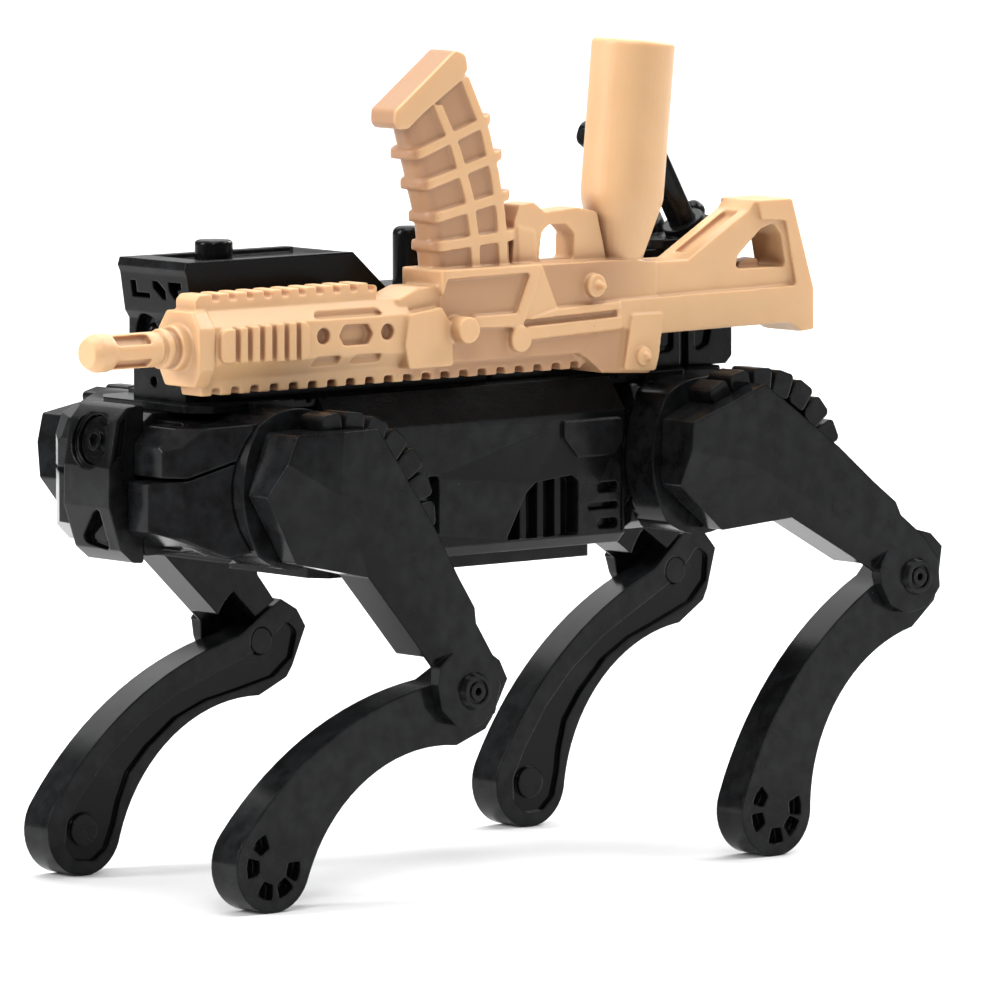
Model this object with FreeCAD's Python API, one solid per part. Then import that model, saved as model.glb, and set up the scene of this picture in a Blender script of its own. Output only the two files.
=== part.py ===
"""Palm-sized toy quadruped robot with a clip-on toy rifle, modelled piece by piece.

Millimetres, +X toward the nose, +Y to the robot's left, +Z up, soles on Z = 0.
Everything is drawn about the middle of the four hips and then moved so that the
origin is the centre of the underside of the whole toy.
"""
import FreeCAD, Part
import math
import os

V = FreeCAD.Vector

# ---- driving dimensions ----
HIP_X = 10.03            # hips ahead of and behind the middle of the body
HIP_Z = 15.44            # height of the hip axles above the soles
THIGH_LENGTH = 10.27     # hip axle to knee pin
SHANK_LENGTH = 10.85     # knee pin to the centre of the foot
FOOT_RADIUS = 1.75
SHANK_IN, SHANK_OUT = 5.62, 7.12      # the shank between these Y values
THIGH_IN, THIGH_RIM, THIGH_FACE = 5.65, 7.33, 7.80
EAR_IN = 7.22            # the knee ear lies outside the shank
PIN_RADIUS = 0.50
PIN_FIT = 0.04
AXLE_RADIUS = 1.00
AXLE_FIT = 0.04
DRUM_RADIUS, DRUM_IN, DRUM_OUT = 3.00, 3.85, 5.45
THIGH_ANGLES = {"front_left": 49.6, "front_right": 44.0, "rear_left": 29.5, "rear_right": 34.9}

BODY_END = 7.20          # the side panels reach this far fore and aft
PANEL_Y = 4.20
CORE_Y = 3.10
DECK_TOP = 18.50
DECK_Y = 3.25
FRAME_NEAR, FRAME_FAR = 8.05, 11.30   # hip frame along X
FRAME_Y = 4.00
BOX_Y = 2.00             # half width of the sensor box and the rear block

RIFLE_Y = 3.55           # middle plane of the toy rifle
HANDLE_RADIUS = 1.59     # the 3.18 mm handle that a minifigure hand grips
CLIP_X, CLIP_Z, CLIP_RADIUS, CLIP_FIT = 8.0, 20.85, 0.60, 0.04

PLANES = {
    "xz": (lambda a, b, c: V(a, c, b), V(0, 1, 0)),
    "yz": (lambda a, b, c: V(c, a, b), V(1, 0, 0)),
    "xy": (lambda a, b, c: V(a, b, c), V(0, 0, 1)),
}


# ---- drawing helpers ----
def rounded_corner(before, corner, after, radius):
    """First, middle and last point of the arc that rounds one corner."""
    cx, cy = corner
    in_x, in_y = before[0] - cx, before[1] - cy
    out_x, out_y = after[0] - cx, after[1] - cy
    in_len = math.hypot(in_x, in_y)
    out_len = math.hypot(out_x, out_y)
    in_x, in_y, out_x, out_y = in_x / in_len, in_y / in_len, out_x / out_len, out_y / out_len
    half = 0.5 * math.acos(max(-1.0, min(1.0, in_x * out_x + in_y * out_y)))
    reach = min(radius / math.tan(half), 0.45 * in_len, 0.45 * out_len)
    radius = reach * math.tan(half)
    mid_x, mid_y = in_x + out_x, in_y + out_y
    mid_len = math.hypot(mid_x, mid_y)
    depth = radius / math.sin(half) - radius
    first = (cx + in_x * reach, cy + in_y * reach)
    middle = (cx + mid_x / mid_len * depth, cy + mid_y / mid_len * depth)
    last = (cx + out_x * reach, cy + out_y * reach)
    return first, middle, last


def face_of(points, radius, plane, level):
    """Flat face with straight sides; one radius for every corner, or a list with one for each."""
    place = PLANES[plane][0]
    count = len(points)
    radii = radius if isinstance(radius, list) else [radius] * count
    corners = []
    for i, corner in enumerate(points):
        if radii[i] > 0:
            corners.append(rounded_corner(points[i - 1], corner, points[(i + 1) % count], radii[i]))
        else:
            corners.append((corner, corner, corner))
    edges = []
    for i, (first, middle, last) in enumerate(corners):
        if radii[i] > 0:
            arc = Part.Arc(place(*first, level), place(*middle, level), place(*last, level))
            edges.append(arc.toShape())
        start = place(*last, level)
        end = place(*corners[(i + 1) % count][0], level)
        if start.distanceToPoint(end) > 1e-6:
            edges.append(Part.makeLine(start, end))
    return Part.Face(Part.Wire(edges))


def plate(points, low, high, radius=0.0, plane="xz"):
    """Outline carried between two levels across its plane."""
    return face_of(points, radius, plane, low).extrude(PLANES[plane][1] * (high - low))


def block(x0, x1, y0, y1, z0, z1):
    return Part.makeBox(x1 - x0, y1 - y0, z1 - z0, V(x0, y0, z0))


def rod(start, end, radius):
    path = V(*end) - V(*start)
    return Part.makeCylinder(radius, path.Length, V(*start), path)


def taper(start, end, start_radius, end_radius):
    path = V(*end) - V(*start)
    return Part.makeCone(start_radius, end_radius, path.Length, V(*start), path)


def cut_beyond(shape, a, b, c):
    """Remove what lies across the plane of three points from the middle of the piece."""
    a, b, c = V(*a), V(*b), V(*c)
    facing = (b - a).cross(c - a).normalize()
    if facing.dot(shape.BoundBox.Center - a) > 0:
        facing = -facing
    waste = Part.makeBox(60, 60, 60, V(-30, -30, 0))
    waste.Placement = FreeCAD.Placement(a, FreeCAD.Rotation(V(0, 0, 1), facing))
    return shape.cut(waste)


def mirrored(shape):
    """The same piece for the robot's right side."""
    return shape.mirror(V(0, 0, 0), V(0, 1, 0))


def turned_end(shape):
    """The same piece at the other end of the body."""
    return shape.mirror(V(0, 0, 0), V(1, 0, 0))


def joined(shapes):
    first, rest = shapes[0], shapes[1:]
    if not rest:
        return first
    return first.fuse(rest).removeSplitter()


# ---- legs, drawn along +X with the hip or the knee at the origin ----
def thigh_slab():
    """Faceted thigh plate before the axle and knee are cut."""
    rim = [(-2.68, -0.25), (-1.48, -1.75), (-0.42, -3.03), (4.2, -2.60), (6.50, -2.22), (7.90, -2.05),
           (8.40, -1.72), (9.95, -1.52), (11.0, -1.10), (11.62, -0.20), (11.45, 0.75), (10.75, 1.38),
           (9.80, 1.48), (8.95, 1.05), (8.50, 0.62), (3.72, 0.68), (1.46, 2.38), (-1.53, 1.90)]
    slab = plate(rim, THIGH_IN, THIGH_FACE, 0.12)
    apex = (0.22, THIGH_FACE, -0.12)
    slab = cut_beyond(slab, (-1.48, THIGH_FACE, -1.75), apex, (-1.53, THIGH_RIM, 1.90))
    slab = cut_beyond(slab, apex, (3.41, THIGH_FACE, 0.12), (1.48, THIGH_RIM, 2.35))
    bevel = slab.cut(block(-5, 8.45, 0, 10, -5, 5))
    arm = slab.cut(block(8.45, 15, 0, 10, -5, 5))
    arm = cut_beyond(arm, (3.41, THIGH_FACE, -0.15), (8.2, THIGH_FACE, -0.25), (8.2, THIGH_RIM, 0.66))
    return arm.fuse(bevel).removeSplitter()


def make_thigh():
    """Thigh with its blind axle socket, knee ear and room for the shank to swing."""
    knee = (THIGH_LENGTH, 0.0)
    slab = thigh_slab()
    beyond_arm = plate([(9.12, 3.0), (9.12, 0.54), (9.71, -1.60), (9.71, -4.0), (14.0, -4.0), (14.0, 3.0)],
                       THIGH_IN - 1, EAR_IN)
    swing = Part.makeCylinder(2.42, EAR_IN - THIGH_IN + 1, V(knee[0], THIGH_IN - 1, 0), V(0, 1, 0))
    swing = swing.common(block(0, 20, 0, 20, -0.50, 5))
    slab = slab.cut(beyond_arm).cut(swing)
    slab = slab.cut(rod((0, THIGH_IN - 1, 0), (0, 6.9, 0), AXLE_RADIUS))
    pin_hole = rod((knee[0], EAR_IN - 1, 0), (knee[0], THIGH_FACE + 1, 0), PIN_RADIUS)
    return slab.cut(pin_hole)


def make_fins():
    """Ribbed rim of the hip motor, standing out behind the thigh plate."""
    middle_u, middle_w = 1.85, 0.15
    band = Part.makeCylinder(4.15, 0.65, V(middle_u, THIGH_IN, middle_w), V(0, 1, 0))
    band = band.cut(Part.makeCylinder(2.6, 2, V(middle_u, THIGH_IN - 1, middle_w), V(0, 1, 0)))
    sector = [(middle_u, middle_w), (middle_u - 6.0, middle_w - 3.4), (middle_u - 1.0, middle_w - 7.5),
              (middle_u + 4.4, middle_w - 5.2)]
    band = band.common(plate(sector, THIGH_IN - 1, 8))
    fins = [band]
    for angle in (-58.0, -42.5, -26.5, -11.0, 4.5, 20.0, 35.5):
        fin = plate([(-0.47, -4.40), (0.47, -4.40), (0.43, -3.40), (-0.43, -3.40)],
                    THIGH_IN, 6.95, 0.2)
        fin.rotate(V(0, 0, 0), V(0, 1, 0), -angle)
        fin.translate(V(middle_u, 0, middle_w))
        fins.append(fin)
    return joined(fins).cut(thigh_slab())


def shank_face(level):
    """S-shaped outline of the shank and its round foot."""
    def at(s, n):
        return V(s, level, n)
    edges = []
    straight = [(0.70, 0.85), (-1.71, 0.64), (-2.06, -0.18), (-1.99, -0.99), (-0.58, -1.77),
                (-0.09, -1.93), (1.37, -1.59)]
    for start, end in zip(straight, straight[1:]):
        edges.append(Part.makeLine(at(*start), at(*end)))
    edges.append(Part.Arc(at(1.37, -1.59), at(5.9, -0.02), at(9.69, -1.315)).toShape())
    toe = math.radians(74.0)
    toe_end = (SHANK_LENGTH + FOOT_RADIUS * math.cos(toe), FOOT_RADIUS * math.sin(toe))
    edges.append(Part.Arc(at(9.69, -1.315), at(SHANK_LENGTH + 1.68, -0.49), at(*toe_end)).toShape())
    edges.append(Part.Arc(at(*toe_end), at(5.95, 2.27), at(0.70, 0.85)).toShape())
    return Part.Face(Part.Wire(edges))


def make_shank():
    """Shank with pads cut in the outer face and a sunk panel on the inner face."""
    shank = shank_face(SHANK_IN).extrude(V(0, SHANK_OUT - SHANK_IN, 0))
    shank = shank.cut(rod((0, SHANK_IN - 1, 0), (0, SHANK_OUT + 1, 0), PIN_RADIUS + PIN_FIT))
    for angle in (88.0, 33.0, -36.0, -88.0, -133.0):
        pad = plate([(0.66, -0.24), (1.22, -0.40), (1.28, 0.0), (1.22, 0.40), (0.66, 0.24)],
                    SHANK_OUT - 0.40, SHANK_OUT + 1, 0.10)
        pad.rotate(V(0, 0, 0), V(0, 1, 0), -angle)
        pad.translate(V(SHANK_LENGTH, 0, 0))
        shank = shank.cut(pad)
    panel = [(-1.42, -0.21), (-1.55, -0.85), (-0.76, -1.50), (0.35, -1.50), (2.02, -0.72), (3.38, -0.05),
             (4.88, 0.39), (6.60, 0.45), (7.90, 0.28), (8.95, -0.30), (9.68, -0.85), (10.48, -1.30),
             (11.25, -1.24), (11.90, -0.61), (11.90, 0.19), (11.30, 0.80), (10.08, 1.15),
             (8.24, 1.45), (6.31, 1.45), (4.32, 1.11), (2.37, 0.48), (0.45, -0.15), (-0.7, -0.25)]
    sunk = plate(panel, SHANK_IN - 1, SHANK_IN + 0.16, 0.25)
    sunk = sunk.cut(rod((SHANK_LENGTH, 4, 0), (SHANK_LENGTH, 8, 0), 0.62))
    return shank.cut(sunk)


def make_knee_pin():
    """Headed pin pressed in the ear of the thigh; the shank turns on its shaft."""
    pin = rod((0, SHANK_IN, 0), (0, THIGH_FACE + 0.05, 0), PIN_RADIUS)
    head = taper((0, THIGH_FACE, 0), (0, 8.05, 0), 0.72, 0.62)
    pin = pin.fuse(head).removeSplitter()
    ring = rod((0, 7.97, 0), (0, 8.2, 0), 0.46).cut(rod((0, 7, 0), (0, 9, 0), 0.34))
    pin = pin.cut(ring)
    return pin.cut(rod((0, 7.6, 0), (0, 9, 0), 0.15))


def make_hip_axle():
    """Plain axle pressed in the thigh and turning in the hip frame."""
    axle = rod((0, 2.0, 0), (0, 6.88, 0), AXLE_RADIUS)
    return axle.cut(rod((0, 1, 0), (0, 2.8, 0), 0.45))


def leg_places(name):
    """Where the thigh and the shank of one leg are put."""
    theta = THIGH_ANGLES[name]
    side_x = HIP_X if name.startswith("front") else -HIP_X
    knee_x = side_x - THIGH_LENGTH * math.cos(math.radians(theta))
    knee_z = HIP_Z - THIGH_LENGTH * math.sin(math.radians(theta))
    phi = math.degrees(math.acos((knee_z - FOOT_RADIUS) / SHANK_LENGTH))
    thigh = FreeCAD.Placement(V(side_x, 0, HIP_Z), FreeCAD.Rotation(V(0, 1, 0), 180 - theta))
    shank = FreeCAD.Placement(V(knee_x, 0, knee_z), FreeCAD.Rotation(V(0, 1, 0), 90 - phi))
    return thigh, shank


def placed(shape, placement):
    copy = shape.copy()
    copy.Placement = placement
    return copy


# ---- body ----
def make_side_panel():
    """Left side panel: bevelled top, raised hexagon, louvre and slots."""
    section = [(CORE_Y, 12.20), (3.80, 12.20), (PANEL_Y, 12.60), (PANEL_Y, 17.30), (3.30, DECK_TOP),
               (DECK_Y + 0.02, DECK_TOP), (DECK_Y + 0.02, DECK_TOP - 0.30), (CORE_Y, DECK_TOP - 0.30)]
    panel = plate(section, -BODY_END, BODY_END, 0.0, "yz")
    hexagon = [(-4.05, 16.40), (-4.75, 15.62), (-6.60, 15.62), (-7.00, 16.10), (-7.00, 17.0), (-4.05, 17.0)]
    panel = panel.fuse(plate(hexagon, PANEL_Y - 0.1, PANEL_Y + 0.14, 0.12)).removeSplitter()
    louvre = [(-1.26, 12.66), (-2.26, 14.40), (-2.75, 14.78), (-4.55, 14.95), (-4.88, 14.70), (-4.85, 12.66)]
    opening = plate(louvre, PANEL_Y - 0.70, PANEL_Y + 1, 0.12)
    for bar_x in (-2.26, -3.12, -3.98):
        opening = opening.cut(block(bar_x - 0.16, bar_x + 0.16, 0, PANEL_Y - 0.18, 12, 16))
    cuts = [opening]
    cuts.append(plate([(-5.36, 13.55), (-6.87, 13.55), (-6.87, 13.82), (-5.36, 13.82)],
                      PANEL_Y - 0.45, PANEL_Y + 1, 0.12))
    for slot_z in (13.0, 14.38):
        slot = [(-5.85, slot_z - 0.2), (-6.85, slot_z - 0.2), (-6.85, slot_z + 0.2), (-5.85, slot_z + 0.2)]
        cuts.append(plate(slot, PANEL_Y - 0.45, PANEL_Y + 1, 0.19))
    cuts.append(plate([(2.04, 13.07), (2.64, 13.07), (2.64, 15.33), (2.04, 15.33)],
                      PANEL_Y - 0.60, PANEL_Y + 1, 0.2))
    for seam_x in (-7.05, 6.2):
        cuts.append(block(seam_x - 0.05, seam_x + 0.05, PANEL_Y - 0.1, PANEL_Y + 1, 12.7, 15.4))
    panel = panel.cut(cuts)
    pegs = []
    for peg_x in (-5.0, 5.0):
        pegs.append(rod((peg_x, CORE_Y - 0.9, 16.6), (peg_x, CORE_Y + 0.2, 16.6), 0.50))
    panel = panel.cut([drum_room(1), turned_end(drum_room(1))])
    return panel.fuse(pegs).removeSplitter()


def make_core():
    """Open-bottomed spine box that the panels, deck and hip frames join."""
    core = block(-BODY_END, BODY_END, -CORE_Y, CORE_Y, 12.25, DECK_TOP - 0.30)
    core = core.cut(block(-6.0, 6.0, -2.0, 2.0, 12.0, 17.2))
    holes = []
    for peg_x in (-5.0, 5.0):
        for side in (-1, 1):
            holes.append(rod((peg_x, side * 2.05, 16.6), (peg_x, side * 4.0, 16.6), 0.52))
    return core.cut(holes)


def make_belly():
    """Shallow belly pan closing the spine box, with a raised skid line."""
    pan = plate([(-6.4, -3.0), (6.4, -3.0), (6.9, -2.3), (6.9, 2.3), (6.4, 3.0), (-6.4, 3.0), (-6.9, 2.3),
                 (-6.9, -2.3)], 11.65, 12.25, 0.2, "xy")
    rim = plate([(-5.95, -1.95), (5.95, -1.95), (5.95, 1.95), (-5.95, 1.95)], 12.2, 13.0, 0.2, "xy")
    rim = rim.cut(plate([(-5.2, -1.2), (5.2, -1.2), (5.2, 1.2), (-5.2, 1.2)], 12.25, 14, 0.2, "xy"))
    groove = plate([(-5.6, -2.1), (5.6, -2.1), (5.6, 2.1), (-5.6, 2.1)], 11.5, 11.8, 0.3, "xy")
    groove = groove.cut(plate([(-5.3, -1.8), (5.3, -1.8), (5.3, 1.8), (-5.3, 1.8)], 11, 12, 0.3, "xy"))
    return pan.fuse(rim).cut(groove)


def make_deck():
    """Thin top deck running over the spine and both hip frames."""
    deck = plate([(-13.6, -2.4), (-12.9, -DECK_Y), (12.2, -DECK_Y), (12.9, -2.4), (12.9, 2.4),
                  (12.2, DECK_Y), (-12.9, DECK_Y), (-13.6, 2.4)], DECK_TOP - 0.30, DECK_TOP, 0.2, "xy")
    grooves = []
    for groove_x in (-7.6, 7.6):
        grooves.append(block(groove_x - 0.12, groove_x + 0.12, -4, 4, DECK_TOP - 0.12, 20))
    return deck.cut(grooves)


def drum_room(side):
    """Space kept free for the fixed drum of the front hip on one side."""
    return rod((HIP_X, side * (DRUM_IN - 0.05), HIP_Z), (HIP_X, side * 6, HIP_Z), DRUM_RADIUS + 0.06)


def make_hip_drums():
    """Pair of ribbed sideways-swing drums between the spine and the front hip frame."""
    drums = []
    for side in (-1, 1):
        drum = [rod((BODY_END, side * 2.1, 15.05), (FRAME_NEAR, side * 2.1, 15.05), 1.85)]
        for rib_x in (7.28, 7.53, 7.78):
            drum.append(rod((rib_x, side * 2.1, 15.05), (rib_x + 0.15, side * 2.1, 15.05), 2.05))
        drums.append(joined(drum).cut(drum_room(side)))
    return Part.makeCompound(drums)


def hip_cylinder(radius, half):
    """Drum about the front hip axis with slightly flattened front and back, equal on both sides."""
    drum = rod((HIP_X, -half, HIP_Z), (HIP_X, half, HIP_Z), radius)
    for shift in (-1.9, 1.9):
        drum = drum.common(rod((HIP_X + shift, -half, HIP_Z), (HIP_X + shift, half, HIP_Z), radius + 1.4))
    return drum


def make_front_frame():
    """Front hip frame: a cylinder across the body with a chamfered block round its middle."""
    section = [(-3.6, 12.9), (-3.0, 12.55), (3.0, 12.55), (3.6, 12.9), (FRAME_Y, 15.4), (FRAME_Y, 17.2),
               (3.5, DECK_TOP - 0.30), (-3.5, DECK_TOP - 0.30), (-FRAME_Y, 17.2), (-FRAME_Y, 15.4)]
    frame = plate(section, FRAME_NEAR, FRAME_FAR, 0.1, "yz")
    frame = frame.cut(block(FRAME_NEAR - 1, FRAME_NEAR + 0.5, -3.2, 3.2, 16.9, 17.5))
    barrel = hip_cylinder(DRUM_RADIUS, DRUM_OUT)
    barrel = barrel.cut(block(5, FRAME_NEAR, -DRUM_IN, DRUM_IN, 10, 20))
    barrel = barrel.cut(block(5, 15, -DRUM_IN, DRUM_IN, DECK_TOP - 0.30, 20))
    frame = frame.fuse(barrel).removeSplitter()
    for side in (-1, 1):
        frame = frame.cut(rod((HIP_X, side * 1.9, HIP_Z), (HIP_X, side * 6, HIP_Z), AXLE_RADIUS + AXLE_FIT))
    for side in (-1, 1):
        y0, y1 = sorted((side * 3.35, side * 3.75))
        frame = frame.fuse(block(8.7, 10.6, y0, y1, 17.6, 18.6))
    frame = frame.cut(block(8, 12, -3.3, 3.3, DECK_TOP - 0.3, 20))
    return frame.removeSplitter()


def make_tail_plate():
    """Chamfered plate closing the back of the rear hip frame."""
    outline = [(-3.2, 13.3), (-2.2, 12.8), (2.2, 12.8), (3.2, 13.3), (3.2, 17.3), (2.6, 18.1), (-2.6, 18.1),
               (-3.2, 17.3)]
    tail = plate(outline, -13.75, -FRAME_FAR, 0.15, "yz")
    tail = tail.cut(rod((-HIP_X, -6, HIP_Z), (-HIP_X, 6, HIP_Z), DRUM_RADIUS))
    inset = plate([(-2.2, 14.0), (2.2, 14.0), (2.2, 17.0), (-2.2, 17.0)], -15, -13.55, 0.3, "yz")
    tail = tail.cut(inset)
    ribs = []
    for rib_z in (14.6, 15.3, 16.0):
        ribs.append(block(-13.75, -13.5, -1.8, 1.8, rib_z, rib_z + 0.3))
    return tail.fuse(ribs).removeSplitter()


# ---- head ----
def make_head_core():
    core = plate([(FRAME_FAR, 12.9), (13.9, 12.9), (13.98, 13.2), (13.98, 17.9), (13.6, 18.18),
                  (FRAME_FAR, 18.18)], -1.40, 1.40)
    back = plate([(-3.3, 13.6), (-2.6, 13.1), (2.6, 13.1), (3.3, 13.6), (3.3, 17.4), (2.8, 17.9), (-2.8, 17.9),
                  (-3.3, 17.4)], FRAME_FAR, 13.3, 0.1, "yz")
    return core.fuse(back).cut(hip_cylinder(DRUM_RADIUS, 6)).removeSplitter()


def make_face_bar():
    """Bent strip down the face with a pocket for each camera window."""
    profile = [(13.98, 12.62), (14.45, 12.66), (15.05, 13.15), (15.60, 14.75), (15.58, 16.25),
               (15.25, 17.95), (14.75, 18.45), (13.98, 18.50)]
    bar = plate(profile, -1.35, 1.35, 0.12)
    trim = plate([(15.02, 16.6), (15.32, 16.6), (15.06, 17.85), (14.8, 18.1)], -1.6, 1.6)
    upper = rod((14.9, 0.0, 17.15), (16.2, 0.0, 17.40), 0.95)
    upper = upper.cut(block(14, 17, 0.72, 2, 15, 19))
    step = rod((15.20, 0.0, 17.20), (16.2, 0.0, 17.40), 1.10)
    step = step.cut(block(14, 17, 0.90, 2, 15, 19))
    upper = upper.fuse(step)
    lower = plate([(-0.95, 13.35), (0.72, 13.10), (0.72, 14.75), (0.3, 14.55)], 14.65, 16.2, 0.22, "yz")
    bar = bar.cut([upper, lower])
    for side in (-1, 1):
        bar = bar.cut(trim.common(block(14, 16, min(side * 1.22, side * 2), max(side * 1.22, side * 2),
                                        16, 19)))
    return bar


def make_upper_lens():
    """Camera window seated in the upper pocket: nested rings cut off straight on the left."""
    rings = []
    for radius, proud in ((0.91, 0.06), (0.66, 0.14), (0.40, 0.24)):
        rings.append(rod((14.93, 0.0, 17.155), (15.00 + proud, 0.0, 17.17 + 0.17 * proud), radius))
    lens = joined(rings).cut(block(14, 17, 0.69, 2, 15, 19))
    groove = rod((15.10, 0.0, 17.18), (16.0, 0.0, 17.34), 0.24)
    return lens.cut(groove)


def make_lower_lens():
    """Three-cornered camera window with a raised middle."""
    lens = plate([(-0.93, 13.36), (0.71, 13.12), (0.71, 14.72), (0.3, 14.53)], 14.66, 14.85, 0.21, "yz")
    middle = plate([(-0.45, 13.50), (0.52, 13.34), (0.52, 14.22), (0.2, 14.05)], 14.8, 15.0, 0.14, "yz")
    return lens.fuse(middle).removeSplitter()


def make_upper_cheek():
    """Upper left sensor cheek, a faceted block whose side flares out towards the hip."""
    side = [(14.5, 15.95), (14.5, 17.06), (13.9, 17.75), (11.4, 18.0), (11.4, 17.08), (13.9, 15.95)]
    cheek = plate(side, 1.45, 5.30)
    cheek = cheek.cut(block(11, 13.35, 0, 3.4, 15, 19))
    cheek = cut_beyond(cheek, (14.5, 3.45, 15.0), (14.05, 3.78, 15.0), (14.5, 3.45, 14.0))
    cheek = cut_beyond(cheek, (14.05, 3.78, 15.0), (13.05, 5.30, 15.0), (14.05, 3.78, 14.0))
    cheek = cut_beyond(cheek, (14.05, 3.78, 17.10), (13.05, 5.30, 17.55), (13.9, 3.20, 17.75))
    return cheek.cut(hip_cylinder(DRUM_RADIUS + 0.05, 6))


def make_lower_cheek():
    """Lower left sensor cheek."""
    side = [(14.8, 13.9), (14.8, 15.72), (13.85, 15.85), (11.4, 16.95), (11.4, 13.35), (12.6, 13.0),
            (14.2, 13.0)]
    cheek = plate(side, 1.45, 5.30)
    cheek = cheek.cut(block(11, 13.35, 0, 3.4, 12, 17.5))
    cheek = cut_beyond(cheek, (14.8, 3.25, 15.0), (14.05, 3.78, 15.0), (14.8, 3.25, 14.0))
    cheek = cut_beyond(cheek, (14.05, 3.78, 15.0), (13.05, 5.30, 15.0), (14.05, 3.78, 14.0))
    cheek = cut_beyond(cheek, (14.05, 3.78, 13.70), (13.05, 5.30, 13.55), (13.6, 3.0, 13.0))
    cheek = cut_beyond(cheek, (14.35, 3.55, 13.75), (14.8, 3.2, 13.95), (13.7, 3.75, 13.45))
    return cheek.cut(hip_cylinder(DRUM_RADIUS + 0.05, 6))


# ---- equipment on the deck ----
def make_sensor_box():
    """Long sensor box: visor, slotted front, sloped back and a low shelf."""
    side = [(12.10, DECK_TOP), (12.10, 19.7), (11.95, 19.95), (11.95, 21.45), (12.15, 21.75), (12.38, 23.2),
            (12.50, 23.45), (12.40, 23.75), (4.40, 23.75), (2.75, 22.3), (2.55, 22.2), (-2.0, 22.2),
            (-2.2, 22.0), (-2.2, DECK_TOP)]
    box = plate(side, -BOX_Y, BOX_Y, 0.0)
    box = box.cut(plate([(11.0, 23.55), (4.6, 23.55), (4.2, 23.9), (11.4, 23.9)], -1.55, 1.55))
    box = box.cut(block(-1.9, 10.6, -1.2, 1.2, 17, 21.4))
    slots = [
        plate([(-1.44, 22.30), (-0.37, 22.30), (-0.37, 22.47), (-1.12, 22.47), (-1.12, 22.92), (-1.44, 22.92)],
              11.6, 13, 0.0, "yz"),
        plate([(-0.13, 22.95), (0.18, 22.95), (0.58, 22.62), (0.58, 22.29), (0.33, 22.29), (-0.13, 22.68)],
              11.6, 13, 0.0, "yz"),
        plate([(0.80, 22.95), (1.55, 22.95), (1.55, 22.75), (1.33, 22.66), (1.33, 22.30), (1.08, 22.30),
               (0.80, 22.60)], 11.6, 13, 0.0, "yz"),
    ]
    for lens_y in (-0.93, 0.93):
        slots.append(rod((11.45, lens_y, 21.0), (13, lens_y, 21.0), 0.66))
    slots.append(rod((11.5, -0.35, 19.15), (13, -0.35, 19.15), 0.20))
    box = box.cut(slots)
    for low, high in ((-3, -1.55), (1.55, 3)):
        box = box.cut(block(11.2, 12.6, low, high, 18, 19.8))
    box = box.cut(plate([(3.2, 19.4), (10.8, 19.4), (10.8, 21.0), (3.2, 21.0)], -3, -1.85, 0.3))
    box = box.fuse(rod((CLIP_X, 1.5, CLIP_Z), (CLIP_X, 3.15, CLIP_Z), CLIP_RADIUS))
    return box.cut(rod((9.5, 0, 23.0), (9.5, 0, 24.5), 0.50)).removeSplitter()


def make_lenses():
    """Pair of round lenses in the front of the sensor box."""
    pair = []
    for lens_y in (-0.93, 0.93):
        lens = rod((11.45, lens_y, 21.0), (11.62, lens_y, 21.0), 0.64)
        dome = Part.makeSphere(0.30, V(11.55, lens_y, 21.0))
        pair.append(lens.fuse(dome).common(block(11.45, 13, -2, 2, 20, 22)).removeSplitter())
    return Part.makeCompound(pair)


def make_top_peg():
    """Round peg standing on the sensor box."""
    peg = rod((9.5, 0, 23.56), (9.5, 0, 24.35), 0.72)
    top_edges = [e for e in peg.Edges if abs(e.BoundBox.ZMin - 24.35) < 1e-6]
    peg = peg.makeFillet(0.15, top_edges)
    return peg.fuse(rod((9.5, 0, 23.02), (9.5, 0, 23.6), 0.50)).removeSplitter()


def make_deck_post():
    """Round-topped post on the low shelf behind the sensor box."""
    post = rod((0, 0, 22.2), (0, 0, 24.4), 0.62)
    top_edges = [e for e in post.Edges if abs(e.BoundBox.ZMin - 24.4) < 1e-6]
    return post.makeFillet(0.3, top_edges)


def make_rear_block():
    """Rear equipment block with a framed side, an upright channel and a low cover ahead of it."""
    side = [(-2.4, DECK_TOP), (-2.4, 18.9), (-2.6, 19.05), (-9.5, 19.05), (-9.5, 22.8), (-9.8, 23.1),
            (-14.3, 23.1), (-14.6, 22.7), (-14.6, 18.8), (-14.3, DECK_TOP)]
    body = plate(side, -BOX_Y, BOX_Y, 0.12)
    for sign in (-1, 1):
        low, high = sorted((sign * (BOX_Y - 0.2), sign * (BOX_Y + 1)))
        body = body.cut(plate([(-9.9, 19.1), (-11.6, 19.1), (-11.6, 22.5), (-9.9, 22.5)], low, high, 0.3))
        body = body.cut(block(-12.35, -11.95, low, high, 18, 24))
        body = body.cut(plate([(-12.7, 19.0), (-13.4, 19.3), (-14.2, 22.5), (-12.7, 22.5)], low, high, 0.2))
        raised = plate([(-10.1, 19.3), (-11.4, 19.3), (-11.4, 22.3), (-10.1, 22.3)],
                       min(sign * 1.7, sign * 1.92), max(sign * 1.7, sign * 1.92), 0.2)
        body = body.fuse(raised)
    return body.removeSplitter()


def make_mast_base():
    """Base plate and stepped collars of the folding mast."""
    base = plate([(-10.9, -2.15), (-14.3, -2.15), (-14.6, -1.8), (-14.6, 1.8), (-14.3, 2.15), (-10.9, 2.15),
                  (-10.6, 1.8), (-10.6, -1.8)], 23.1, 23.45, 0.15, "xy")
    pieces = [base]
    lean = V(0.5, 0, 0.866)
    for side in (-1, 1):
        foot = V(-13.1, side * 1.45, 23.1)
        for radius, start, length in ((1.05, 0.0, 0.75), (0.82, 0.7, 0.45)):
            pieces.append(Part.makeCylinder(radius, length, foot + lean * start, lean))
    base = joined(pieces).common(block(-16, -8, -3, 3, 23.1, 26))
    for side in (-1, 1):
        foot = V(-13.1, side * 1.45, 23.1)
        base = base.cut(Part.makeCylinder(0.52, 5, foot + lean * 0.45, lean))
    return base


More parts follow.
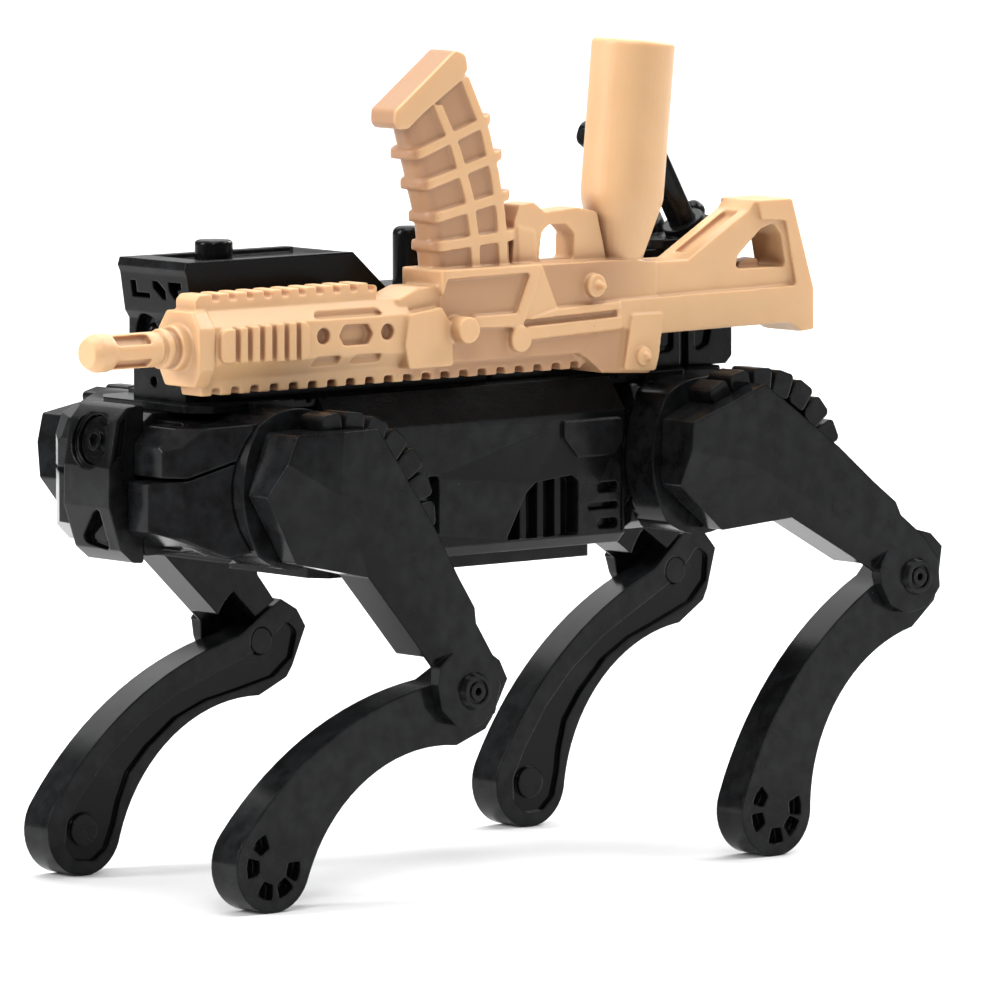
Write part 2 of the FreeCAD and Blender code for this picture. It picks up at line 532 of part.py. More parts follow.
def make_mast_rods():
    """Twin leaning rods joined by a crosshead with a small nub."""
    lean = V(0.5, 0, 0.866)
    pieces = []
    for side in (-1, 1):
        foot = V(-13.1, side * 1.45, 23.1)
        pieces.append(Part.makeCylinder(0.52, 4.5, foot + lean * 0.47, lean))
    head = V(-13.1, 0, 23.1) + lean * 4.85
    pieces.append(rod((head.x, -1.95, head.z), (head.x, 1.95, head.z), 0.55))
    pieces.append(rod((head.x, 0, head.z), (head.x + 2.0, 0, head.z + 0.1), 0.32))
    return joined(pieces)


def make_tail_knob():
    """Small knob on a stub behind the mast."""
    return joined([rod((-14.1, 0, 23.52), (-14.35, 0, 24.1), 0.28), Part.makeSphere(0.45, V(-14.4, 0, 24.25))])


# ---- toy rifle, one moulding carried upside down ----
def slab(points, half, radius=0.0):
    """Rifle outline made thick evenly to both sides of the rifle's middle plane."""
    return plate(points, RIFLE_Y - half, RIFLE_Y + half, radius)


def barrel_rod(x0, x1, radius):
    return rod((x0, RIFLE_Y, 20.80), (x1, RIFLE_Y, 20.80), radius)


def side_boss(x, z, radius, half):
    return rod((x, RIFLE_Y - half, z), (x, RIFLE_Y + half, z), radius)


def rifle_barrel():
    """Flash hider with four slots, and the neck behind it."""
    hider = joined([barrel_rod(15.2, 18.05, 0.66), taper((18.05, RIFLE_Y, 20.8), (18.4, RIFLE_Y, 20.8), 0.72, 0.52),
                    barrel_rod(17.50, 18.05, 0.72)])
    for turn in (42, 138, 222, 318):
        slot = plate([(15.75, 21.18), (17.35, 21.18), (17.35, 22.0), (15.75, 22.0)],
                     RIFLE_Y - 0.24, RIFLE_Y + 0.24, 0.12)
        slot.rotate(V(0, RIFLE_Y, 20.8), V(1, 0, 0), turn)
        hider = hider.cut(slot)
    neck = [barrel_rod(14.3, 15.3, 0.58), barrel_rod(14.75, 15.05, 0.75), barrel_rod(13.9, 14.5, 0.85)]
    return joined([hider] + neck)


def rifle_handguard():
    """Eight-sided handguard with upper and lower rails, a grip panel and windows."""
    section = [(-1.15, 20.15), (-0.62, 19.55), (0.62, 19.55), (1.15, 20.15), (1.15, 21.55), (0.62, 22.12),
               (-0.62, 22.12), (-1.15, 21.55)]
    section = [(RIFLE_Y + y, z) for y, z in section]
    guard = plate(section, 3.8, 13.6, 0.08, "yz")
    front = [(-1.22, 20.0), (-0.85, 19.35), (0.85, 19.35), (1.22, 20.0), (1.22, 21.5), (0.75, 22.15),
             (-0.75, 22.15), (-1.22, 21.5)]
    front = [(RIFLE_Y + y, z) for y, z in front]
    collar = plate(front, 13.3, 14.05, 0.1, "yz")
    upper = slab([(5.05, 22.0), (13.7, 22.0), (13.72, 22.55), (13.5, 22.75), (5.2, 22.78), (5.0, 22.6)], 0.60)
    grip = slab([(8.9, 20.12), (13.15, 20.22), (13.15, 21.48), (8.9, 21.60)], 1.42, 0.35)
    windows = [
        slab([(5.1, 21.58), (8.45, 21.58), (8.2, 21.86), (5.3, 21.86)], 2.0),
        slab([(5.15, 19.80), (6.55, 19.80), (6.55, 20.16), (5.25, 20.16)], 2.0, 0.08),
        slab([(7.2, 19.80), (8.5, 19.80), (8.4, 20.18), (7.2, 20.18)], 2.0, 0.08),
        slab([(5.9, 20.55), (7.05, 20.55), (7.3, 20.92), (7.05, 21.30), (5.9, 21.30), (5.65, 20.92)], 2.0, 0.08),
        side_boss(8.05, 20.95, 0.30, 2.0),
        side_boss(4.95, 20.95, 0.30, 2.0),
    ]
    core = slab([(3.9, 19.7), (13.5, 19.7), (13.5, 22.1), (3.9, 22.1)], 0.80)
    windows = joined_windows(windows).cut(core)
    guard = guard.cut(windows)
    grooves = []
    for i in range(6):
        x = 12.35 - 0.58 * i
        grooves.append(block(x - 0.11, x + 0.11, 0, 8, 19.9, 21.9))
    grip = grip.cut(grooves)
    notches = []
    for i in range(10):
        x = 12.75 - 0.83 * i
        notches.append(block(x - 0.17, x + 0.17, 0, 8, 22.48, 23))
    upper = upper.cut(notches)
    return joined([guard, collar, upper, grip])


def joined_windows(shapes):
    return Part.makeCompound(shapes)


def rifle_lower_rail():
    """Notched rail under the handguard and receiver."""
    rail = slab([(-5.3, 19.85), (13.6, 19.75), (13.45, 18.98), (-5.0, 18.98), (-5.3, 19.2)], 0.62)
    notches = []
    for i in range(20):
        x = 12.75 - 0.92 * i
        notches.append(block(x - 0.2, x + 0.2, 0, 8, 18.5, 19.25))
    return rail.cut(notches)


def rifle_receiver():
    """Receiver with its framed window, knobs, ribs, lug and pins."""
    pieces = [
        slab([(2.30, 19.6), (2.30, 23.10), (-6.4, 23.05), (-8.5, 22.9), (-8.5, 19.6)], 1.00),
        slab([(1.9, 19.50), (4.05, 19.50), (4.25, 20.4), (4.05, 21.55), (2.45, 21.75), (1.9, 21.0)], 1.32, 0.1),
        slab([(2.0, 21.5), (4.15, 21.3), (4.25, 22.1), (3.2, 22.5), (2.0, 22.5)], 0.90),
        slab([(0.6, 21.32), (-1.7, 21.20), (-1.7, 20.75), (0.6, 20.86)], 1.22),
        slab([(-2.70, 23.05), (-3.50, 21.32), (-1.85, 21.08), (-2.45, 22.7)], 1.12),
        slab([(-3.40, 21.38), (-6.5, 21.50), (-6.5, 21.16), (-1.85, 21.02)], 1.22),
        slab([(-1.9, 20.78), (-6.6, 20.92), (-6.6, 20.42), (-1.9, 20.26)], 1.22),
        slab([(-4.7, 19.5), (-5.0, 19.4), (-5.8, 18.78), (-8.15, 18.65), (-8.35, 19.3), (-8.6, 20.3),
              (-5.6, 20.5)], 1.02),
        slab([(-6.65, 18.85), (-7.05, 20.95), (-8.65, 20.95), (-8.42, 19.3), (-8.25, 18.75)], 1.27, 0.12),
    ]
    frame = slab([(2.30, 23.12), (-2.60, 23.12), (-2.50, 22.60), (-1.75, 20.98), (0.5, 21.02), (2.30, 21.4)], 1.22)
    frame = frame.cut(slab([(2.05, 22.76), (-2.02, 22.80), (-1.35, 21.32), (0.6, 21.32), (3.0, 20.3), (2.25, 22.2)],
                           2.0))
    pieces.append(frame)
    pieces.append(rod((1.60, RIFLE_Y, 20.87), (1.60, RIFLE_Y + 1.95, 20.87), 0.50))
    pieces.append(side_boss(-1.50, 20.32, 0.50, 1.34))
    pieces.append(side_boss(-5.25, 22.15, 0.45, 1.35))
    pieces.append(side_boss(-7.50, 19.35, 0.36, 1.52))
    for x, z, half, length in ((-5.25, 22.15, 1.35, 0.45), (-7.50, 19.35, 1.52, 0.25)):
        for side in (-1, 1):
            start = (x, RIFLE_Y + side * (half - 0.01), z)
            end = (x, RIFLE_Y + side * (half + length), z)
            pieces.append(taper(start, end, 0.20, 0.10))
    return joined(pieces)


def rifle_magazine():
    """Curved box magazine with wrap-round ribs and a slanted floor plate."""
    body = slab([(3.60, 28.95), (2.98, 26.9), (2.40, 24.9), (2.15, 22.9), (-1.45, 22.9), (-1.33, 24.4),
                 (-1.00, 25.8), (-0.05, 28.3), (0.75, 30.40)], 0.70)
    front_edges = [e for e in body.Edges if e.BoundBox.YLength < 1e-6 and e.BoundBox.XMin > 1.9
                   and e.BoundBox.ZLength > 1.5 and e.BoundBox.ZLength < 2.2]
    body = body.makeFillet(0.50, front_edges)
    pieces = [body]
    wraps = [((3.40, 27.40), (-0.55, 28.72)), ((2.92, 26.25), (-1.12, 27.35)), ((2.52, 25.02), (-1.50, 25.80)),
             ((2.38, 23.95), (-1.75, 24.25))]
    for (x0, z0), (x1, z1) in wraps:
        wrap = slab([(x0, z0 - 0.2), (x0, z0 + 0.2), (x1, z1 + 0.2), (x1, z1 - 0.2)], 0.88, 0.14)
        outline = [(x0, RIFLE_Y - 0.88), (x0, RIFLE_Y + 0.88), (x1, RIFLE_Y + 0.88), (x1, RIFLE_Y - 0.88)]
        pieces.append(wrap.common(plate(outline, z0 - 1, z1 + 1, 0.5, "xy")))
    for line in ([(2.25, 29.3), (1.35, 27.6), (0.72, 25.8), (0.45, 24.3), (0.36, 22.9)],
                 [(0.95, 30.3), (-0.05, 28.3), (-0.55, 26.6), (-0.86, 25.0), (-1.00, 22.9)]):
        left = [(x - 0.22, z) for x, z in line]
        right = [(x + 0.22, z) for x, z in reversed(line)]
        pieces.append(slab(left + right, 0.87))
    near, far = RIFLE_Y + 0.92, RIFLE_Y - 0.62
    floor = plate([(4.15, 28.45), (4.40, 28.70), (4.35, 29.15), (1.40, 31.32), (0.95, 31.15), (0.80, 30.60),
                   (1.15, 30.15), (2.95, 29.05), (3.75, 28.45)], far, near, 0.22)
    outline = [(0.6, far), (4.5, far), (4.5, near), (0.6, near)]
    pieces.append(floor.common(plate(outline, 27, 32, 0.35, "xy")))
    return joined(pieces)


def rifle_grip():
    """Trigger guard and the round handle that runs out of the receiver."""
    guard = slab([(-1.65, 23.0), (-1.75, 24.7), (-2.05, 25.35), (-2.75, 25.4), (-3.3, 25.0), (-4.9, 25.1),
                  (-5.9, 24.9), (-6.4, 23.0)], 0.55, 0.15)
    guard = guard.cut(slab([(-3.15, 24.25), (-3.5, 24.5), (-4.35, 24.5), (-4.75, 24.15), (-4.70, 23.15),
                            (-3.0, 23.15)], 1.0, 0.15))
    trigger = slab([(-1.95, 23.0), (-1.85, 24.55), (-2.75, 24.3), (-2.85, 23.0)], 0.62, 0.1)
    length = 9.144
    profile = [(0.0, 0.0), (0.72, 0.0), (HANDLE_RADIUS, 3.1), (HANDLE_RADIUS, length), (0.0, length)]
    handle = face_of(profile, [0, 0, 1.2, 0.2, 0], "xz", 0.0).revolve(V(0, 0, 0), V(0, 0, 1), 360)
    handle.Placement = FreeCAD.Placement(V(-7.30, RIFLE_Y, 22.2), FreeCAD.Rotation(V(0, 1, 0), -5.648))
    return joined([guard, trigger, handle])


def rifle_stock():
    """Stock with a three-cornered opening and a raised lower half."""
    outline = [(-6.3, 22.88), (-10.2, 22.86), (-13.25, 24.6), (-13.6, 25.0), (-15.35, 25.0), (-16.5, 21.4),
               (-16.5, 19.85), (-15.85, 19.80), (-15.2, 20.18), (-8.4, 20.12), (-6.3, 20.4)]
    opening = [(-12.6, 22.40), (-12.75, 22.90), (-13.9, 23.85), (-14.55, 24.05), (-14.95, 23.6), (-15.2, 22.35)]
    raised = [(-6.4, 21.52), (-15.55, 21.62), (-15.0, 24.15), (-13.75, 24.25), (-13.6, 24.98), (-15.33, 24.98),
              (-16.48, 21.4), (-16.48, 19.87), (-15.85, 19.82), (-15.2, 20.2), (-8.5, 20.14), (-6.4, 20.5)]
    body = slab(outline, 0.92, 0.12).fuse(slab(raised, 1.14, 0.1))
    body = body.cut(slab(opening, 2.0, 0.15))
    rest = slab([(-13.1, 22.2), (-14.3, 22.2), (-14.3, 22.62), (-14.1, 22.72), (-13.3, 22.6)], 0.35)
    groove = block(-13.2, -10.6, RIFLE_Y - 0.4, RIFLE_Y + 0.4, 23.0, 25.2)
    groove = groove.cut(plate([(-10.2, 22.6), (-13.4, 24.4), (-13.4, 20), (-10.2, 20)], 0, 8))
    return joined([body.cut(groove), rest])


def make_rifle():
    rifle = joined([rifle_receiver(), rifle_barrel(), rifle_handguard(), rifle_lower_rail(),
                    rifle_magazine(), rifle_grip(), rifle_stock()])
    return rifle.cut(rod((CLIP_X, 0, CLIP_Z), (CLIP_X, 3.25, CLIP_Z), CLIP_RADIUS + CLIP_FIT))


# ---- assembly ----
def build_parts():
    parts = {
        "spine_core": make_core(),
        "side_panel_left": make_side_panel(),
        "belly_pan": make_belly(),
        "top_deck": make_deck(),
        "front_hip_frame": make_front_frame(),
        "front_swing_drums": make_hip_drums(),
        "tail_plate": make_tail_plate(),
        "head_core": make_head_core(),
        "face_bar": make_face_bar(),
        "upper_camera_lens": make_upper_lens(),
        "lower_camera_lens": make_lower_lens(),
        "cheek_upper_left": make_upper_cheek(),
        "cheek_lower_left": make_lower_cheek(),
        "sensor_box": make_sensor_box(),
        "sensor_lenses": make_lenses(),
        "top_peg": make_top_peg(),
        "deck_post": make_deck_post(),
        "rear_block": make_rear_block(),
        "mast_base": make_mast_base(),
        "mast_rods": make_mast_rods(),
        "tail_knob": make_tail_knob(),
        "toy_rifle": make_rifle(),
    }
    parts["side_panel_right"] = mirrored(parts["side_panel_left"])
    parts["cheek_upper_right"] = mirrored(parts["cheek_upper_left"])
    parts["cheek_lower_right"] = mirrored(parts["cheek_lower_left"])
    parts["rear_hip_frame"] = turned_end(parts["front_hip_frame"])
    parts["rear_swing_drums"] = turned_end(parts["front_swing_drums"])
    pieces = {"thigh": make_thigh(), "motor_fins": make_fins(), "hip_axle": make_hip_axle()}
    lower_pieces = {"shank": make_shank()}
    pin = make_knee_pin()
    for name in THIGH_ANGLES:
        at_thigh, at_shank = leg_places(name)
        leg = {}
        for piece, shape in pieces.items():
            leg[piece] = placed(shape, at_thigh)
        for piece, shape in lower_pieces.items():
            leg[piece] = placed(shape, at_shank)
        leg["knee_pin"] = placed(pin, at_shank)
        for piece, shape in leg.items():
            if name.endswith("right"):
                shape = mirrored(shape)
            parts[piece + "_" + name] = shape
    return parts


def main():
    parts = build_parts()
    bounds = Part.makeCompound(list(parts.values())).BoundBox
    shift = V(-(bounds.XMin + bounds.XMax) / 2, -(bounds.YMin + bounds.YMax) / 2, -bounds.ZMin)
    os.makedirs("parts", exist_ok=True)
    for name in sorted(parts):
        shape = parts[name]
        shape.translate(shift)
        shape.exportStep("parts/" + name + ".step")
        print(name, "valid" if shape.isValid() else "INVALID", "solids", len(shape.Solids),
              "volume", round(shape.Volume, 2))
    print("box", [round(v, 3) for v in (bounds.XLength, bounds.YLength, bounds.ZLength)])
    print("shift", [round(v, 4) for v in (shift.x, shift.y, shift.z)])
    for name in THIGH_ANGLES:
        thigh, shank = leg_places(name)
        print(name, "hip", round(thigh.Base.x + shift.x, 4), round(thigh.Base.z + shift.z, 4),
              "knee", round(shank.Base.x + shift.x, 4), round(shank.Base.z + shift.z, 4))


main()
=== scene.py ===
import bmesh
import bpy
import math
from mathutils import Matrix, Vector


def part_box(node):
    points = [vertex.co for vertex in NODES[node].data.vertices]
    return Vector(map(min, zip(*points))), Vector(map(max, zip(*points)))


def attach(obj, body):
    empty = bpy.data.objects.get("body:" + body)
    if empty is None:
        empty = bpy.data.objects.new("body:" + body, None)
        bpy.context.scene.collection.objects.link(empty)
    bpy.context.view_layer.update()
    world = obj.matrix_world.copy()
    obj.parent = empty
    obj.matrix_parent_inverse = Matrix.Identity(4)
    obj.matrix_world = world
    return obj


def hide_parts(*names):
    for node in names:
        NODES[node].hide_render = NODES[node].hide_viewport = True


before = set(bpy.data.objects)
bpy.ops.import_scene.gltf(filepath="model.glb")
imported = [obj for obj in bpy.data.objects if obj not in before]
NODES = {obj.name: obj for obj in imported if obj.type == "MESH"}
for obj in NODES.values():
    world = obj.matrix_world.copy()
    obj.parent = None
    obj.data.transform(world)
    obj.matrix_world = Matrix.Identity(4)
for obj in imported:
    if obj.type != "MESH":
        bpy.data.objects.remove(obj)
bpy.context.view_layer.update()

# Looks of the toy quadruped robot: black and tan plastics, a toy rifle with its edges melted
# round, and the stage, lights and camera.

MM = 0.001
PER_METRE = 1000.0               # millimetres in a metre
WELD_GAP = 0.000002              # m, vertices closer than this are one
MUZZLE_X = 18.40                 # mm from the middle of the hips to the rifle's muzzle
SHIFT_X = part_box("toy_rifle")[1][0] - MUZZLE_X * MM   # m, the middle of the hips along X
SHIFT_MM = SHIFT_X * PER_METRE
RIFLE_MID = 3.55                 # mm, the rifle's middle plane along Y
MAGAZINE_FOOT = 23.10            # mm, the magazine stands above this height
VIEW_TURN = math.radians(40.5)   # the camera stands this far round from +Y toward the nose


# ---- materials ----
COOL_LOW, COOL_HIGH = (0.93, 0.95, 1.0), (1.05, 1.08, 1.15)   # the two tints of one black
# paler black for sharp edges: partly rubbed wear, partly a painted edge highlight
WORN_AND_HIGHLIGHT_BLACK = (0.035, 0.037, 0.040, 1)
DUST = (0.16, 0.17, 0.18, 1)
TAN_LOW, TAN_HIGH = (0.63, 0.385, 0.195, 1), (0.67, 0.415, 0.215, 1)
# darker tan used as painted shade in recesses and windows
TAN_PAINTED_SHADE = (0.33, 0.165, 0.088, 1)
TAN_PINHOLE = (0.25, 0.14, 0.08, 1)
RARE = 0.72                      # this share of the specks is left out


def new_material(name):
    mat = bpy.data.materials.new(name)
    mat.use_nodes = True
    tree = mat.node_tree
    shader = tree.nodes["Principled BSDF"]
    return mat, tree, shader


def add(tree, kind, **values):
    node = tree.nodes.new(kind)
    for key, value in values.items():
        setattr(node, key, value)
    return node


def coords(tree):
    """Object coordinates counted in millimetres."""
    source = add(tree, "ShaderNodeTexCoord")
    scale = add(tree, "ShaderNodeVectorMath", operation="SCALE")
    scale.inputs["Scale"].default_value = PER_METRE
    tree.links.new(source.outputs["Object"], scale.inputs[0])
    return scale.outputs["Vector"]


def noise(tree, place, scale, detail=3.0, rough=0.55):
    node = add(tree, "ShaderNodeTexNoise")
    node.inputs["Scale"].default_value = scale
    node.inputs["Detail"].default_value = detail
    node.inputs["Roughness"].default_value = rough
    tree.links.new(place, node.inputs["Vector"])
    return node.outputs["Fac"]


def spread(tree, value, low, high, out_low, out_high):
    """Carry a value from one range to another, clamped."""
    node = add(tree, "ShaderNodeMapRange")
    node.inputs["From Min"].default_value = low
    node.inputs["From Max"].default_value = high
    node.inputs["To Min"].default_value = out_low
    node.inputs["To Max"].default_value = out_high
    tree.links.new(value, node.inputs["Value"])
    return node.outputs["Result"]


def combine(tree, operation, a, b):
    node = add(tree, "ShaderNodeMath", operation=operation)
    for slot, value in zip(node.inputs, (a, b)):
        if isinstance(value, (int, float)):
            slot.default_value = value
        else:
            tree.links.new(value, slot)
    return node.outputs["Value"]


def mix_colour(tree, fac, a, b):
    node = add(tree, "ShaderNodeMix", data_type="RGBA")
    tree.links.new(fac, node.inputs["Factor"])
    for slot, value in ((node.inputs["A"], a), (node.inputs["B"], b)):
        if isinstance(value, tuple):
            slot.default_value = value
        else:
            tree.links.new(value, slot)
    return node.outputs["Result"]


def bump(tree, height, strength, distance, before=None):
    node = add(tree, "ShaderNodeBump")
    node.inputs["Strength"].default_value = strength
    node.inputs["Distance"].default_value = distance
    tree.links.new(height, node.inputs["Height"])
    if before is not None:
        tree.links.new(before, node.inputs["Normal"])
    return node.outputs["Normal"]


def specks(tree, place, scale, size):
    """Sparse round dots, 1 on a dot: dust or pinholes."""
    cells = add(tree, "ShaderNodeTexVoronoi", feature="F1")
    cells.inputs["Scale"].default_value = scale
    tree.links.new(place, cells.inputs["Vector"])
    dots = spread(tree, cells.outputs["Distance"], size, size * 0.55, 0.0, 1.0)
    pick = add(tree, "ShaderNodeSeparateColor")
    tree.links.new(cells.outputs["Color"], pick.inputs["Color"])
    chosen = combine(tree, "GREATER_THAN", pick.outputs["Red"], RARE)
    return combine(tree, "MULTIPLY", dots, chosen)


def black_plastic(name, tone, rough_low, rough_high, grain, stipple=False, round_mm=0.10):
    """Glossy moulded black plastic with flow marks, fine grain, edges lightened partly as rubbed
    wear and partly as a painted edge highlight, and dust.
    """
    mat, tree, shader = new_material(name)
    place = coords(tree)
    broad = noise(tree, place, 0.35, 4.0)
    fine = noise(tree, place, 6.0, 5.0)
    shine = spread(tree, broad, 0.35, 0.65, rough_low, rough_high)
    shine = combine(tree, "ADD", shine, spread(tree, fine, 0.4, 0.7, 0.0, 0.02))
    dust = specks(tree, place, 1.2, 0.035)
    edge = add(tree, "ShaderNodeNewGeometry")
    # Sharp edges lightened toward a paler black: partly rubbed wear, partly a painted edge
    # highlight.
    worn_and_edge_highlight = spread(tree, edge.outputs["Pointiness"], 0.53, 0.60, 0.0, 1.0)
    patches = spread(tree, noise(tree, place, 1.4), 0.35, 0.65, 0.15, 1.0)
    worn_and_edge_highlight = combine(tree, "MULTIPLY", worn_and_edge_highlight, patches)
    low = tuple(tone * share for share in COOL_LOW) + (1,)
    high = tuple(tone * share for share in COOL_HIGH) + (1,)
    colour = mix_colour(tree, spread(tree, broad, 0.3, 0.7, 0.0, 1.0), low, high)
    # Mix in the edge lightening: rubbed wear and painted edge highlight together.
    colour = mix_colour(tree, combine(tree, "MULTIPLY", worn_and_edge_highlight, 0.25), colour, WORN_AND_HIGHLIGHT_BLACK)
    colour = mix_colour(tree, combine(tree, "MULTIPLY", dust, 0.35), colour, DUST)
    tree.links.new(colour, shader.inputs["Base Color"])
    tiny = combine(tree, "MULTIPLY", noise(tree, place, 26.0, 4.0), grain)
    height = combine(tree, "ADD", tiny, combine(tree, "MULTIPLY", fine, 0.5))
    rounded = add(tree, "ShaderNodeBevel", samples=6)
    rounded.inputs["Radius"].default_value = round_mm * MM
    normal = bump(tree, height, 0.05, 0.00002, rounded.outputs["Normal"])
    if stipple:
        # Grit only on the faces that lean about half way up: the long bevel of a panel.
        facing = add(tree, "ShaderNodeSeparateXYZ")
        tree.links.new(edge.outputs["Normal"], facing.inputs["Vector"])
        slope = combine(tree, "MULTIPLY", spread(tree, facing.outputs["Z"], 0.45, 0.55, 0.0, 1.0),
                        spread(tree, facing.outputs["Z"], 0.80, 0.72, 0.0, 1.0))
        grit = combine(tree, "MULTIPLY", noise(tree, place, 7.0, 6.0, 0.7), slope)
        normal = bump(tree, grit, 1.0, 0.00035, normal)
        shine = combine(tree, "ADD", shine, combine(tree, "MULTIPLY", slope, 0.10))
    shine = combine(tree, "ADD", shine, combine(tree, "MULTIPLY", dust, 0.3))
    tree.links.new(shine, shader.inputs["Roughness"])
    tree.links.new(normal, shader.inputs["Normal"])
    shader.inputs["Specular IOR Level"].default_value = 0.12
    shader.inputs["IOR"].default_value = 1.5
    return mat


def tan_plastic():
    """Satin, slightly cloudy tan plastic, with painted shade darkening its recesses and the
    magazine and receiver windows.
    """
    mat, tree, shader = new_material("tan plastic")
    place = coords(tree)
    broad = noise(tree, place, 0.5, 4.0)
    fine = noise(tree, place, 8.0, 4.0)
    # Painted shade: the tan darkens where ambient occlusion finds a recess.
    shade = add(tree, "ShaderNodeAmbientOcclusion", samples=8)
    shade.inputs["Distance"].default_value = 0.0012
    painted_recess_shade = spread(tree, shade.outputs["AO"], 0.35, 0.92, 1.0, 0.0)
    axes = add(tree, "ShaderNodeSeparateXYZ")
    tree.links.new(place, axes.inputs["Vector"])
    along, across, up = axes.outputs["X"], axes.outputs["Y"], axes.outputs["Z"]
    off = combine(tree, "ABSOLUTE", combine(tree, "SUBTRACT", across, RIFLE_MID), 0.0)
    # Painted shade on the floors of the magazine windows and the receiver recess, placed by
    # position.
    magazine_shade_zone = combine(tree, "MULTIPLY",
                       spread(tree, up, MAGAZINE_FOOT, MAGAZINE_FOOT + 0.10, 0.0, 1.0),
                       spread(tree, along, SHIFT_MM - 1.60, SHIFT_MM - 1.50, 0.0, 1.0))
    receiver_shade_zone = combine(tree, "MULTIPLY",
                       spread(tree, up, MAGAZINE_FOOT, MAGAZINE_FOOT - 0.10, 0.0, 1.0),
                       spread(tree, along, SHIFT_MM - 8.9, SHIFT_MM - 6.2, 0.0, 1.0))
    receiver_shade_zone = combine(tree, "MULTIPLY", receiver_shade_zone,
                       spread(tree, along, SHIFT_MM + 2.4, SHIFT_MM + 2.2, 0.0, 1.0))
    painted_window_shade = combine(tree, "ADD",
                   combine(tree, "MULTIPLY", magazine_shade_zone, spread(tree, off, 0.84, 0.74, 0.0, 0.75)),
                   combine(tree, "MULTIPLY", receiver_shade_zone, spread(tree, off, 1.12, 1.02, 0.0, 0.60)))
    painted_recess_shade = combine(tree, "MAXIMUM", painted_recess_shade, painted_window_shade)
    colour = mix_colour(tree, spread(tree, broad, 0.3, 0.7, 0.0, 1.0), TAN_LOW, TAN_HIGH)
    # Mix in the painted shade.
    colour = mix_colour(tree, painted_recess_shade, colour, TAN_PAINTED_SHADE)
    pin = specks(tree, place, 1.1, 0.05)
    colour = mix_colour(tree, combine(tree, "MULTIPLY", pin, 0.4), colour, TAN_PINHOLE)
    tree.links.new(colour, shader.inputs["Base Color"])
    shine = combine(tree, "ADD", spread(tree, broad, 0.35, 0.65, 0.36, 0.46),
                    spread(tree, fine, 0.4, 0.7, 0.0, 0.08))
    tree.links.new(shine, shader.inputs["Roughness"])
    height = combine(tree, "ADD", noise(tree, place, 20.0, 4.0),
                     combine(tree, "MULTIPLY", fine, 0.6))
    tree.links.new(bump(tree, height, 0.18, 0.00003), shader.inputs["Normal"])
    shader.inputs["Subsurface Weight"].default_value = 0.25
    shader.inputs["Subsurface Radius"].default_value = (1.0, 0.5, 0.25)
    shader.inputs["Subsurface Scale"].default_value = 0.0006
    return mat


BLACK = black_plastic("black plastic", 0.0030, 0.170, 0.185, 0.5)
STIPPLED = black_plastic("black plastic, stippled bevel", 0.0032, 0.19, 0.21, 0.6,
                         stipple=True)
SATIN = black_plastic("black plastic, satin", 0.0036, 0.23, 0.26, 0.9)
PIN = black_plastic("black plastic, pins", 0.0040, 0.14, 0.16, 0.4, round_mm=0.05)
GLASSY = black_plastic("black lens plastic", 0.0025, 0.06, 0.08, 0.1, round_mm=0.05)
TAN = tan_plastic()


def material_for(name):
    if name == "toy_rifle":
        return TAN
    if name.startswith("side_panel"):
        return STIPPLED
    if name.startswith(("knee_pin", "hip_axle")):
        return PIN
    if "lens" in name:
        return GLASSY
    if name in ("sensor_box", "belly_pan", "mast_base", "spine_core"):
        return SATIN
    return BLACK


# Pieces whose shallow facets stay crisp; the others only keep their real edges.
FACETED = ("thigh", "cheek", "head_core", "face_bar", "side_panel", "sensor_box")
FACET_DEG, EDGE_DEG = 8, 24


def dress(name, thing):
    """Weld the seams, keep real edges crisp and put the material on one CAD node."""
    thing.data.materials.clear()
    thing.data.materials.append(material_for(name))
    for polygon in thing.data.polygons:
        polygon.use_smooth = True
    weld = thing.modifiers.new("weld", "WELD")
    weld.merge_threshold = WELD_GAP
    split = thing.modifiers.new("crisp edges", "EDGE_SPLIT")
    split.split_angle = math.radians(FACET_DEG if name.startswith(FACETED) else EDGE_DEG)
    split.use_edge_sharp = False


def soften(name, body, cell, passes):
    """Replace one CAD node with a copy whose edges are melted round, as small mouldings are.

    The voxel grid's cell is in millimetres, so the copy is made in millimetres and scaled back.
    """
    source = NODES[name]
    work = bmesh.new()
    work.from_mesh(source.data)
    bmesh.ops.remove_doubles(work, verts=work.verts, dist=WELD_GAP)
    enlarged = Matrix.Scale(PER_METRE, 4) @ source.matrix_world
    bmesh.ops.transform(work, matrix=enlarged, verts=work.verts)
    mesh = bpy.data.meshes.new(name + " softened")
    work.to_mesh(mesh)
    work.free()
    piece = bpy.data.objects.new(name + "_softened", mesh)
    bpy.context.collection.objects.link(piece)
    grid = piece.modifiers.new("grid", "REMESH")
    grid.mode = "VOXEL"
    grid.voxel_size = cell
    melt = piece.modifiers.new("melt", "SMOOTH")
    melt.factor = 0.5
    melt.iterations = passes
    ready = piece.evaluated_get(bpy.context.evaluated_depsgraph_get())
    final = bpy.data.meshes.new_from_object(ready)
    piece.modifiers.clear()
    final.transform(Matrix.Scale(MM, 4))
    piece.data = final
    final.materials.clear()
    final.materials.append(material_for(name))
    for polygon in final.polygons:
        polygon.use_smooth = True
    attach(piece, body)
    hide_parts(name)


SOFTENED = {"toy_rifle": ("rifle", 0.045, 10)}   # node: body, voxel cell in mm, passes

for node_name, node_thing in list(NODES.items()):
    if node_name in SOFTENED:
        soften(node_name, *SOFTENED[node_name])
    else:
        dress(node_name, node_thing)


# ---- stage, light and camera ----
def flat_material(name, colour, rough):
    mat, tree, shader = new_material(name)
    grain = noise(tree, coords(tree), 0.02, 2.0)
    low = tuple(c * 0.97 for c in colour)
    tree.links.new(mix_colour(tree, grain, low + (1,), colour + (1,)), shader.inputs["Base Color"])
    shader.inputs["Roughness"].default_value = rough
    return mat


